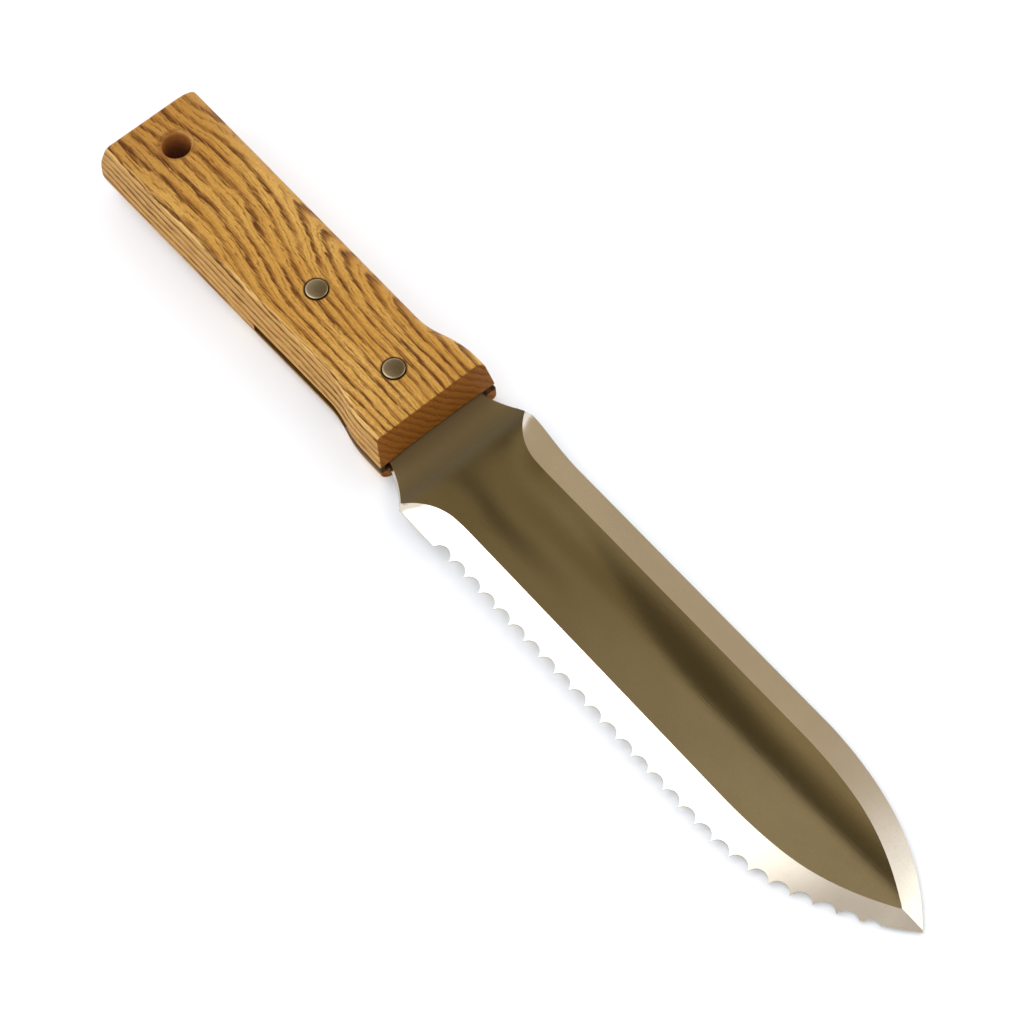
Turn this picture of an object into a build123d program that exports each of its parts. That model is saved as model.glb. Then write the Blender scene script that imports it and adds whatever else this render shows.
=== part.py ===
"""Hori hori knife: one-piece slotted wooden handle, full blade with its tang, two through rivets.

Frame: +X runs from the butt to the tip, +Y to the plain cutting edge, +Z up out of the bevelled
face. The origin is on the axis of the hanging hole, at the middle of the tang's thickness.
"""
from build123d import *
import os

os.makedirs("parts", exist_ok=True)

# ------------------------------------------------------------------ driving dimensions, mm
overall_length = 308.6
handle_length = 124.6
butt_x = -16.6                        # the hanging hole is this far from the butt
front_x = butt_x + handle_length      # front face of the handle
tip_x = butt_x + overall_length
end_allowance = 20.0                  # the blank is longer than the handle and is cut to length

# handle, seen from above: half widths each side of the rivet line at the slot's level
serrated_side_butt = 16.5
serrated_side_waist = 15.1
serrated_side_front = 17.6
plain_side_waist = 17.4
plain_side_front = 21.2
waist_x = 83.0                        # where the grip starts to flare towards the blade
serrated_flare_x = 101.0              # where each flare ends
plain_flare_x = 102.0
halves_overlap = 6.0                  # the two flanks of the blank overlap this far past y = 0

# handle, seen from the side and from its end
handle_top = 14.3
handle_bottom = 6.0
serrated_flank_lean = 4.0             # degrees that each upper flank leans in
plain_flank_lean = 10.0
serrated_top_round = 2.2
plain_top_round = 6.5
serrated_bottom_round = 4.4           # the well rounded edges lie diagonally opposite
plain_bottom_round = 1.8
butt_slope_z = 4.0                    # above this height the butt slopes in towards the top
butt_slope = 0.427                    # mm along the handle for each mm up
butt_knee_round = 6.0
butt_top_round = 1.5
butt_bottom_round = 2.5
butt_corner_radius = 2.6              # rounding of the butt's corners, seen from above
butt_corner_margin = 0.25             # the corner arcs run out this far beyond the faces

# slot for the tang, milled in from the plain-edge side
slot_height = 2.2
slot_rear_x = 51.6
slot_floor_y = -16.2

# rivets and hanging hole, all on y = 0
rear_rivet_x = 61.2
front_rivet_x = 93.5
rivet_radius = 3.15
rivet_stand_out = 0.35                # how far each head stands above the wood
rivet_head_round = 0.6
rivet_seat_chamfer = 0.35             # small countersink in the wood round each rivet
hanging_hole_radius = 4.0
hanging_hole_rim_round = 0.8

# blade
blade_axis_y = 1.0                    # the blade's centre line lies beside the rivet line
steel = 2.0                           # sheet thickness
dish = 0.9                            # how far the dished section rises at dish_width
dish_width = 22.0
dish_start_x = 110.0
dish_full_x = 138.0
tip_lift_x = 255.0                    # from here the blade lifts and thins towards its tip
tip_top_lift = 0.3
tip_bottom_lift = 0.6
section_half_width = 27.0             # the dished sheet is drawn wider than the blade
section_stations = (110, 117, 124, 131, 138, 160, 190, 220, 245, 260, 275, 290, 295)

# tang
tang_rear_x = 54.0
tang_half_width = 13.0
tang_corner = 3.0
tang_flare_x = 96.0
tang_front_x = 106.0                  # still inside the handle

# blade outline, half widths each side of the blade's centre line
neck_half_width = 16.0
neck_rear_x = 104.0
neck_middle = (114.3, 18.4)
serrated_shoulder = (119.8, -22.0)
plain_shoulder = (120.8, 21.6)
edge_start_x = 142.0
plain_edge_bend = (130.0, 20.85)
plain_edge = 20.0
plain_edge_end_x = 235.0
serrated_edge_start = 22.1
serrated_edge = 22.8
serrated_edge_end_x = 230.0
tip_slope = 0.95                      # both edges' slope where they meet at the tip

# ground bevels, from the panel's outline down to the cutting edge
neck_edge_break = 0.8                 # width of the broken edge along the neck
panel_half_width = 13.0
panel_start_x = 132.5
grinding_radius = 15.0                # run-out of the bevels at the shoulders
panel_shoulder = 20.9                 # where the run-outs meet the neck, half width
panel_end_x = 234.0
panel_tip_x = 285.5
panel_tip_slope = 0.55
bevel_top = 1.31                      # heights between which the bevels are drawn
bevel_bottom = 0.2

# serrations
gullet_count = 26
gullet_pitch = 5.95
first_gullet = 17.2                   # along the edge, from the shoulder
gullet_radius = 3.1
gullet_depth = 2.3
full_depth_gullets = 23
gullet_fade = 0.15                    # the last gullets lose this times 1, 4 and 9 of their depth


def smooth_step(value, start, end):
    """0 before start, 1 after end, level at both."""
    t = min(max((value - start) / (end - start), 0.0), 1.0)
    return t * t * (3 - 2 * t)


def s_curve(start, end, heading=(1, 0)):
    """Two equal arcs from start to end, with the same heading at both ends."""
    middle = ((start[0] + end[0]) / 2, (start[1] + end[1]) / 2)
    first = TangentArc(start, middle, tangent=heading)
    TangentArc(middle, end, tangent=first % 1)


# ------------------------------------------------------------------ handle
blank_rear = butt_x - end_allowance
blank_front = front_x + end_allowance


serrated_slope = (serrated_side_butt - serrated_side_waist) / (waist_x - blank_rear)
blank_front_side = serrated_side_front - serrated_slope * (blank_front - serrated_flare_x)


def serrated_flank():
    """The handle's outline on the serrated side, from the rear of the blank to its front."""
    Line((blank_rear, -serrated_side_butt), (waist_x, -serrated_side_waist))
    s_curve(
        (waist_x, -serrated_side_waist), (serrated_flare_x, -serrated_side_front),
        heading=(1, serrated_slope),
    )
    Line((serrated_flare_x, -serrated_side_front), (blank_front, -blank_front_side))


def plain_flank():
    """The handle's outline on the plain side, from the front of the blank to its rear."""
    Line((blank_front, plain_side_front), (plain_flare_x, plain_side_front))
    s_curve((waist_x, plain_side_waist), (plain_flare_x, plain_side_front))
    Line((waist_x, plain_side_waist), (blank_rear, plain_side_waist))


def butt_outline():
    """The end of the handle from above, with its corners rounded a little beyond its faces."""
    rear = butt_x - butt_corner_margin
    corner_x = rear + butt_corner_radius
    serrated_y = serrated_side_butt + butt_corner_margin
    plain_y = plain_side_waist + butt_corner_margin
    Line((rear, plain_y - butt_corner_radius), (rear, butt_corner_radius - serrated_y))
    TangentArc(
        (rear, butt_corner_radius - serrated_y), (corner_x, -serrated_y), tangent=(0, -1)
    )
    Line((corner_x, -serrated_y), (corner_x, -2 * plain_y))
    Line((corner_x, -2 * plain_y), (blank_front, -2 * plain_y))
    Line((blank_front, -2 * plain_y), (blank_front, 2 * plain_y))
    Line((blank_front, 2 * plain_y), (corner_x, 2 * plain_y))
    Line((corner_x, 2 * plain_y), (corner_x, plain_y))
    TangentArc((corner_x, plain_y), (rear, plain_y - butt_corner_radius), tangent=(-1, 0))


butt_top_x = butt_x + butt_slope * (handle_top - butt_slope_z)
with BuildPart() as corner_form:
    with BuildSketch(Plane.XY.offset(butt_slope_z)) as form_outline:
        with BuildLine():
            butt_outline()
        make_face()
    extrude(form_outline.sketch, amount=-2 * handle_bottom)
    extrude(form_outline.sketch, amount=handle_top, dir=(butt_slope, 0, 1))

with BuildPart() as handle:
    # upper half, one flank at a time because the two lean by different angles
    with BuildSketch(Plane.XY):
        with BuildLine():
            Line((blank_rear, halves_overlap), (blank_rear, -serrated_side_butt))
            serrated_flank()
            Line((blank_front, -blank_front_side), (blank_front, halves_overlap))
            Line((blank_front, halves_overlap), (blank_rear, halves_overlap))
        make_face()
    extrude(amount=handle_top, taper=serrated_flank_lean)
    with BuildSketch(Plane.XY):
        with BuildLine():
            Line((blank_rear, -halves_overlap), (blank_front, -halves_overlap))
            Line((blank_front, -halves_overlap), (blank_front, plain_side_front))
            plain_flank()
            Line((blank_rear, plain_side_waist), (blank_rear, -halves_overlap))
        make_face()
    extrude(amount=handle_top, taper=plain_flank_lean)
    # lower half
    with BuildSketch(Plane.XY):
        with BuildLine():
            Line((blank_rear, plain_side_waist), (blank_rear, -serrated_side_butt))
            serrated_flank()
            Line((blank_front, -blank_front_side), (blank_front, plain_side_front))
            plain_flank()
        make_face()
    extrude(amount=-handle_bottom)

    # the long edges are rounded before the blank is cut to length
    upper_edges = handle.edges().group_by(Axis.Z)[-1]
    fillet(
        upper_edges.filter_by(lambda edge: edge.center().Y < -halves_overlap - 1),
        serrated_top_round,
    )
    upper_edges = handle.edges().group_by(Axis.Z)[-1]
    fillet(
        upper_edges.filter_by(lambda edge: edge.center().Y > halves_overlap + 1),
        plain_top_round,
    )
    lower_edges = handle.edges().group_by(Axis.Z)[0]
    fillet(
        lower_edges.filter_by(lambda edge: edge.center().Y < -halves_overlap),
        serrated_bottom_round,
    )
    lower_edges = handle.edges().group_by(Axis.Z)[0]
    fillet(
        lower_edges.filter_by(lambda edge: edge.center().Y > halves_overlap),
        plain_bottom_round,
    )

    # cut to length, the butt's end rounded off at the top and the bottom
    with BuildSketch(Plane.XZ) as side_view:
        with BuildLine():
            Polyline(
                (front_x, -handle_bottom), (butt_x, -handle_bottom), (butt_x, butt_slope_z),
                (butt_top_x, handle_top), (front_x, handle_top), close=True,
            )
        make_face()
        butt_points = side_view.vertices().filter_by(lambda point: point.X < front_x - 1)
        fillet(butt_points.group_by(Axis.Y)[0], butt_bottom_round)
        fillet(butt_points.group_by(Axis.Y)[-1], butt_top_round)
        fillet(butt_points.group_by(Axis.Y)[1], butt_knee_round)
    extrude(amount=2 * plain_side_front, both=True, mode=Mode.INTERSECT)
    add(corner_form.part, mode=Mode.INTERSECT)

    # slot for the tang
    with BuildSketch(Plane.XY.offset(-slot_height / 2)):
        with Locations((slot_rear_x, slot_floor_y)):
            Rectangle(
                handle_length, 3 * plain_side_front, align=(Align.MIN, Align.MIN)
            )
    extrude(amount=slot_height, mode=Mode.SUBTRACT)

    # rivet holes with a small countersink at each end, and the hanging hole with softened rims
    with Locations((rear_rivet_x, 0), (front_rivet_x, 0)):
        Hole(rivet_radius)
    rivet_rims = handle.edges().filter_by(GeomType.CIRCLE).filter_by(
        lambda edge: abs(edge.radius - rivet_radius) < 0.01
    )
    chamfer(rivet_rims.group_by(Axis.Z)[-1] + rivet_rims.group_by(Axis.Z)[0], rivet_seat_chamfer)
    with Locations((0, 0)):
        Hole(hanging_hole_radius)
    hanging_rims = handle.edges().filter_by(GeomType.CIRCLE).filter_by(
        lambda edge: abs(edge.radius - hanging_hole_radius) < 0.01
    )
    fillet(hanging_rims, hanging_hole_rim_round)

# ------------------------------------------------------------------ rivets
rivets = {}
for name, station in (("rivet_front", front_rivet_x), ("rivet_rear", rear_rivet_x)):
    with BuildPart() as rivet:
        with BuildSketch(Plane.XY.offset(-handle_bottom - rivet_stand_out)):
            with Locations((station, 0)):
                Circle(rivet_radius)
        extrude(amount=handle_bottom + handle_top + 2 * rivet_stand_out)
        fillet(rivet.edges(), rivet_head_round)
    rivets[name] = rivet


# ------------------------------------------------------------------ blade
def blade_plane(height):
    """A horizontal sketch plane whose x axis is the blade's centre line."""
    return Plane((0, blade_axis_y, height))


def neck(side, inset, end):
    """The neck's outline from the handle's face to the shoulder; side is +1 plain, -1 serrated."""
    ThreePointArc(
        (front_x, side * (neck_half_width - inset)),
        (neck_middle[0], side * (neck_middle[1] - inset)),
        end,
    )


def serrated_edge_line():
    """The line of the tooth tips, from the shoulder to the blade's tip."""
    Line(serrated_shoulder, (edge_start_x, -serrated_edge_start))
    Line((edge_start_x, -serrated_edge_start), (serrated_edge_end_x, -serrated_edge))
    Spline(
        (serrated_edge_end_x, -serrated_edge), (242, -22.6), (253, -21.1), (264.5, -17.6),
        (274, -12.9), (283, -7.2), (tip_x, 0), tangents=((1, 0), (1, tip_slope)),
    )


def panel_corner(side):
    """Where the run-out arc of a bevel, tangent to the panel's side, reaches the shoulder."""
    out = grinding_radius - (panel_shoulder - panel_half_width)
    along = (grinding_radius ** 2 - out ** 2) ** 0.5
    return (panel_start_x - along, side * panel_shoulder)


def panel_side(side):
    """One side of the panel between the bevels, from the shoulder to the panel's tip."""
    RadiusArc(
        panel_corner(side),
        (panel_start_x, side * panel_half_width),
        -side * grinding_radius,
    )
    Line((panel_start_x, side * panel_half_width), (panel_end_x, side * panel_half_width))
    Spline(
        (panel_end_x, side * panel_half_width), (258, side * 10.4), (272.5, side * 6),
        (panel_tip_x, 0), tangents=((1, 0), (1, -side * panel_tip_slope)),
    )


with BuildSketch(blade_plane(bevel_bottom)) as edge_outline:
    with BuildLine():
        Line((neck_rear_x, neck_half_width), (neck_rear_x, -neck_half_width))
        Line((neck_rear_x, -neck_half_width), (front_x, -neck_half_width))
        neck(-1, 0, serrated_shoulder)
        serrated_edge_line()
        Spline(
            (tip_x, 0), (282.5, 7.6), (271.5, 13.5), (256, 18), (plain_edge_end_x, plain_edge),
            tangents=((-1, tip_slope), (-1, 0)),
        )
        Line((plain_edge_end_x, plain_edge), (edge_start_x, plain_edge))
        Spline(
            (edge_start_x, plain_edge), plain_edge_bend, plain_shoulder, tangents=((-1, 0), (-1, 0))
        )
        neck(1, 0, plain_shoulder)
        Line((front_x, neck_half_width), (neck_rear_x, neck_half_width))
    make_face()

with BuildSketch(blade_plane(bevel_top)) as panel_outline:
    with BuildLine():
        panel_neck = neck_half_width - neck_edge_break
        Line((neck_rear_x, panel_neck), (neck_rear_x, -panel_neck))
        Line((neck_rear_x, -panel_neck), (front_x, -panel_neck))
        neck(-1, neck_edge_break, panel_corner(-1))
        panel_side(-1)
        panel_side(1)
        neck(1, neck_edge_break, panel_corner(1))
        Line((front_x, panel_neck), (neck_rear_x, panel_neck))
    make_face()

# the sheet that the blade is cut from: flat at the tang, then dished, and lifted at the tip
with BuildPart() as sheet:
    for station in section_stations:
        dished = smooth_step(station, dish_start_x, dish_full_x)
        lifted = smooth_step(station, tip_lift_x, tip_x)
        rise = dish * dished * (section_half_width / dish_width) ** 2
        top = steel / 2 + tip_top_lift * lifted
        bottom = -steel / 2 + tip_bottom_lift * lifted
        w = section_half_width
        with BuildSketch(Plane((station, blade_axis_y, 0), x_dir=(0, 1, 0), z_dir=(1, 0, 0))):
            with BuildLine():
                Bezier((-w, bottom + rise), (0, bottom - rise), (w, bottom + rise))
                Line((w, bottom + rise), (w, top + rise))
                Bezier((w, top + rise), (0, top - rise), (-w, top + rise))
                Line((-w, top + rise), (-w, bottom + rise))
            make_face()
    loft()
    with BuildSketch(blade_plane(-steel / 2)):
        with Locations((dish_start_x, 0)):
            Rectangle(
                dish_start_x - tang_rear_x + 1, 2 * section_half_width,
                align=(Align.MAX, Align.CENTER),
            )
    extrude(amount=steel)

with BuildLine(blade_plane(0)) as tooth_tips:
    serrated_edge_line()

with BuildPart() as blade:
    # ground bevels between the panel's outline and the edge, then the plain slab under them
    add(edge_outline.sketch)
    add(panel_outline.sketch)
    loft(ruled=True)
    add(edge_outline.sketch)
    extrude(amount=-(bevel_bottom + 1.5 * steel / 2))

    # tang, running a little way into the neck
    with BuildSketch(blade_plane(-1.5 * steel / 2)) as tang:
        with BuildLine():
            Line((tang_rear_x, tang_half_width), (tang_rear_x, -tang_half_width))
            Line((tang_rear_x, -tang_half_width), (tang_flare_x, -tang_half_width))
            s_curve((tang_flare_x, -tang_half_width), (neck_rear_x, -neck_half_width))
            Line((neck_rear_x, -neck_half_width), (tang_front_x, -neck_half_width))
            Line((tang_front_x, -neck_half_width), (tang_front_x, neck_half_width))
            Line((tang_front_x, neck_half_width), (neck_rear_x, neck_half_width))
            s_curve((tang_flare_x, tang_half_width), (neck_rear_x, neck_half_width))
            Line((tang_flare_x, tang_half_width), (tang_rear_x, tang_half_width))
        make_face()
        fillet(tang.vertices().group_by(Axis.X)[0], tang_corner)
    extrude(amount=1.5 * steel)
    add(sheet.part, mode=Mode.INTERSECT)

    # gullets of the serrated edge, shallower towards the tip, and the rivet holes
    with BuildSketch(Plane.XY.offset(-2 * steel)):
        for gullet in range(gullet_count):
            along = first_gullet + gullet * gullet_pitch
            spot = tooth_tips.wire().position_at(along, position_mode=PositionMode.LENGTH)
            heading = tooth_tips.wire().tangent_at(along, position_mode=PositionMode.LENGTH)
            faded = max(0, gullet + 1 - full_depth_gullets)
            outward = gullet_radius - gullet_depth + gullet_fade * faded ** 2
            with Locations((spot.X + outward * heading.Y, spot.Y - outward * heading.X)):
                Circle(gullet_radius)
        with Locations((rear_rivet_x, 0), (front_rivet_x, 0)):
            Circle(rivet_radius)
    extrude(amount=4 * steel, mode=Mode.SUBTRACT)

# ------------------------------------------------------------------ labels and files
handle.part.label = "handle"
blade.part.label = "blade"
export_step(handle.part, "parts/handle.step")
export_step(blade.part, "parts/blade.step")
for name, rivet in rivets.items():
    rivet.part.label = name
    export_step(rivet.part, "parts/" + name + ".step")
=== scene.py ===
"""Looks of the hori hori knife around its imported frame: ash handle, ground stainless blade, rivets."""
import math

import bmesh
import bpy
import numpy as np
from mathutils import Matrix, Vector


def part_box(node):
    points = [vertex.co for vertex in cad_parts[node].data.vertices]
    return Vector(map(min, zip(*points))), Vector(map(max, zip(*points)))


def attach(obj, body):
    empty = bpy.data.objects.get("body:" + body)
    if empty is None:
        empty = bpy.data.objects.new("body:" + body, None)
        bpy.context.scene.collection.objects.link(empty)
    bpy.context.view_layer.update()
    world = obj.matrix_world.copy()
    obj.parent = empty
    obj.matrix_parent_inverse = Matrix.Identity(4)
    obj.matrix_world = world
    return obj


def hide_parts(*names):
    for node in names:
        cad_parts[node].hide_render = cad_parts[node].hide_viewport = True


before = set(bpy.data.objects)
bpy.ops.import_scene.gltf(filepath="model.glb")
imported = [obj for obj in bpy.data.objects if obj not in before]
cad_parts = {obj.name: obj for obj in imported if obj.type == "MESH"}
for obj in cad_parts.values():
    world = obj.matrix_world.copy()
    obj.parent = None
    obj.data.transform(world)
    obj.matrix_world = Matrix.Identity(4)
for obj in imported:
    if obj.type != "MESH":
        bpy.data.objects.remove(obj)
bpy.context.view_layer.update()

MM = 0.001

# ------------------------------------------------------------------ places read from the frame, mm
handle_low, handle_high = [[v / MM for v in corner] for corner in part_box("handle")]
blade_low, blade_high = [[v / MM for v in corner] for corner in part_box("blade")]
BUTT_X = handle_low[0]
FRONT_X = handle_high[0]
TIP_X = blade_high[0]
TANG_REAR_X = blade_low[0]
HANDLE_TOP = handle_high[2]
HANDLE_BOTTOM = -handle_low[2]


def pin_centre(node):
    low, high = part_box(node)
    return (low[0] + high[0]) / 2 / MM, (low[1] + high[1]) / 2 / MM


RIVETS = [pin_centre("rivet_rear"), pin_centre("rivet_front")]
RIVET_RADIUS = (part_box("rivet_rear")[1][0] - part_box("rivet_rear")[0][0]) / 2 / MM

# ------------------------------------------------------------------ shared dimensions, mm
BLADE_AXIS_Y = 1.0              # the blade's centre line lies beside the rivet line
HOLE_RADIUS = 4.0


def smooth_step(value, start, end):
    t = np.clip((np.asarray(value, float) - start) / (end - start), 0.0, 1.0)
    return t * t * (3 - 2 * t)


def clamped_spline(points, slope_start, slope_end):
    """A cubic spline y(x) through the points, with the slope given at each end."""
    xs = np.array([p[0] for p in points], float)
    ys = np.array([p[1] for p in points], float)
    n = len(xs)
    h = np.diff(xs)
    a = np.zeros((n, n))
    b = np.zeros(n)
    a[0, 0], a[0, 1] = 2 * h[0], h[0]
    b[0] = 6 * ((ys[1] - ys[0]) / h[0] - slope_start)
    a[-1, -1], a[-1, -2] = 2 * h[-1], h[-1]
    b[-1] = 6 * (slope_end - (ys[-1] - ys[-2]) / h[-1])
    for i in range(1, n - 1):
        a[i, i - 1], a[i, i], a[i, i + 1] = h[i - 1], 2 * (h[i - 1] + h[i]), h[i]
        b[i] = 6 * ((ys[i + 1] - ys[i]) / h[i] - (ys[i] - ys[i - 1]) / h[i - 1])
    m = np.linalg.solve(a, b)

    def evaluate(x):
        x = np.clip(np.asarray(x, float), xs[0], xs[-1])
        i = np.clip(np.searchsorted(xs, x, side="right") - 1, 0, n - 2)
        t = x - xs[i]
        slope = (ys[i + 1] - ys[i]) / h[i] - h[i] * (2 * m[i] + m[i + 1]) / 6
        return ys[i] + t * (slope + t * (m[i] / 2 + t * (m[i + 1] - m[i]) / (6 * h[i])))

    return evaluate


def circle_through(p, q, r):
    """Centre and radius of the circle through three points."""
    a = np.array([[q[0] - p[0], q[1] - p[1]], [r[0] - p[0], r[1] - p[1]]])
    b = np.array([
        (q[0] ** 2 - p[0] ** 2 + q[1] ** 2 - p[1] ** 2) / 2,
        (r[0] ** 2 - p[0] ** 2 + r[1] ** 2 - p[1] ** 2) / 2,
    ])
    c = np.linalg.solve(a, b)
    return c, math.dist(c, p)


# ------------------------------------------------------------------ mesh helpers
def new_object(name, mesh):
    piece = bpy.data.objects.new(name, mesh)
    bpy.context.scene.collection.objects.link(piece)
    return piece


def grid_faces(rows, cols, closed):
    faces = []
    for i in range(rows - 1):
        for j in range(cols if closed else cols - 1):
            k = (j + 1) % cols
            faces.append((i * cols + j, i * cols + k, (i + 1) * cols + k, (i + 1) * cols + j))
    return faces


def apply_modifiers(piece):
    graph = bpy.context.evaluated_depsgraph_get()
    mesh = bpy.data.meshes.new_from_object(piece.evaluated_get(graph))
    piece.modifiers.clear()
    old = piece.data
    piece.data = mesh
    bpy.data.meshes.remove(old)


def face_outward(mesh):
    bm = bmesh.new()
    bm.from_mesh(mesh)
    bmesh.ops.recalc_face_normals(bm, faces=bm.faces)
    bm.to_mesh(mesh)
    bm.free()


def lathe(name, profile, segments):
    """A solid of revolution about Z from a list of (radius, z) in mm, open profile ends capped."""
    verts = []
    for radius, z in profile:
        for k in range(segments):
            angle = 2 * math.pi * k / segments
            verts.append((radius * math.cos(angle) * MM, radius * math.sin(angle) * MM, z * MM))
    faces = grid_faces(len(profile), segments, closed=True)
    faces.append(tuple(range(segments)))
    faces.append(tuple(len(verts) - segments + k for k in range(segments)))
    mesh = bpy.data.meshes.new(name)
    mesh.from_pydata(verts, [], faces)
    face_outward(mesh)
    return new_object(name, mesh)


# ------------------------------------------------------------------ handle
SLOT_REAR_X = 51.6
SLOT_FLOOR_Y = -16.2
SLOT_HALF = 1.1
SLOT_GAP = 0.35                 # shrinkage gap over the tang
WAIST_X = 83.0                  # where the grip starts to flare towards the blade
SERRATED_FLARE_X = 101.0        # where each flare ends
PLAIN_FLARE_X = 102.0
SERRATED_WAIST, SERRATED_FRONT = 15.1, 17.6
PLAIN_WAIST, PLAIN_FRONT = 17.4, 21.2
SERRATED_BUTT, SERRATED_BUTT_X = 16.5, -34.0
PLAIN_FLANK_LEAN = math.radians(10.0)
BUTT_KNEE_Z = 4.0
BUTT_SLOPE = 0.427
BUTT_SLOPE_END_X = -4.6
BUTT_ROUND = 3.0                # the butt's edges are rounded over this length
BUTT_ROUNDINGS = (1.4, 1.8, 2.5)    # at its sides, top and bottom
FRONT_ROUND = 0.4
FRONT_LEAN = 0.9                # how far the top of the front face leans back
FRONT_LEAN_X = 96.0
ARC_STEPS = 10
SIDE_STEPS = 8
BUTT_STEPS = 15
GRIP_STEPS = 150
FRONT_STEPS = 5


def s_shape(x, x0, y0, x1, y1):
    t = np.clip((x - x0) / (x1 - x0), 0.0, 1.0)
    return y0 + (y1 - y0) * np.where(t < 0.5, 2 * t * t, 1 - 2 * (1 - t) ** 2)


def serrated_half_width(x):
    taper = (x - SERRATED_BUTT_X) / (WAIST_X - SERRATED_BUTT_X)
    straight = SERRATED_BUTT - (SERRATED_BUTT - SERRATED_WAIST) * taper
    flare = s_shape(x, WAIST_X, SERRATED_WAIST, SERRATED_FLARE_X, SERRATED_FRONT)
    return np.where(x < WAIST_X, straight, flare)


def plain_half_width(x):
    return s_shape(x, WAIST_X, PLAIN_WAIST, PLAIN_FLARE_X, PLAIN_FRONT)


def round_corner(corner, before, after, radius):
    """Points of the arc that rounds a polygon's corner, from the side before to the side after."""
    a = (Vector(before) - Vector(corner)).normalized()
    b = (Vector(after) - Vector(corner)).normalized()
    half = a.angle(b) / 2
    reach = radius / math.tan(half)
    centre = Vector(corner) + (a + b).normalized() * (radius / math.sin(half))
    start = Vector(corner) + a * reach - centre
    end = Vector(corner) + b * reach - centre
    turn = start.angle_signed(end)
    return [centre + Matrix.Rotation(-turn * k / ARC_STEPS, 2) @ start for k in range(ARC_STEPS + 1)]


def handle_section(x, side_inset, top_inset, bottom_inset):
    """The handle's section at x as a closed loop of (y, z), shrunk by the insets."""
    serrated = float(serrated_half_width(x)) - side_inset
    plain = float(plain_half_width(x)) - side_inset
    top = HANDLE_TOP - top_inset
    bottom = -HANDLE_BOTTOM + bottom_inset
    lean = 1.1 + 0.9 * float(smooth_step(x, 5.0, 80.0)) - 1.0 * float(smooth_step(x, 84.0, 106.0))
    plain_lean = math.tan(PLAIN_FLANK_LEAN) * HANDLE_TOP
    corners = [
        ((-serrated + lean, top), 1.5),
        ((plain - plain_lean, top), 6.2 - 2.0 * float(smooth_step(x, 94.0, 108.0))),
        ((plain, 0.0), 9.0),
        ((plain, bottom), 1.8),
        ((-serrated, bottom), 4.3),
        ((-serrated, 0.0), 9.0),
    ]
    loop = []
    for i, (corner, radius) in enumerate(corners):
        before = corners[i - 1][0]
        after = corners[(i + 1) % len(corners)][0]
        arc = round_corner(corner, before, after, radius)
        if loop:
            start = Vector(loop[-1])
            for k in range(1, SIDE_STEPS):
                loop.append(tuple(start.lerp(arc[0], k / SIDE_STEPS)))
        loop.extend(tuple(p) for p in arc)
    start = Vector(loop[-1])
    for k in range(1, SIDE_STEPS):
        loop.append(tuple(start.lerp(Vector(loop[0]), k / SIDE_STEPS)))
    return loop


def quarter_round(depth, radius):
    """How far a rounded end is inset at this depth from the end face."""
    return radius - math.sqrt(max(0.0, radius ** 2 - max(0.0, radius - depth) ** 2))


def butt_slope(z):
    """How far the butt's end lies forward at this height: it slopes in above its knee."""
    above = z - BUTT_KNEE_Z
    softened = (above + math.sqrt(above ** 2 + 4.0)) / 2
    return BUTT_SLOPE * softened


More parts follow.
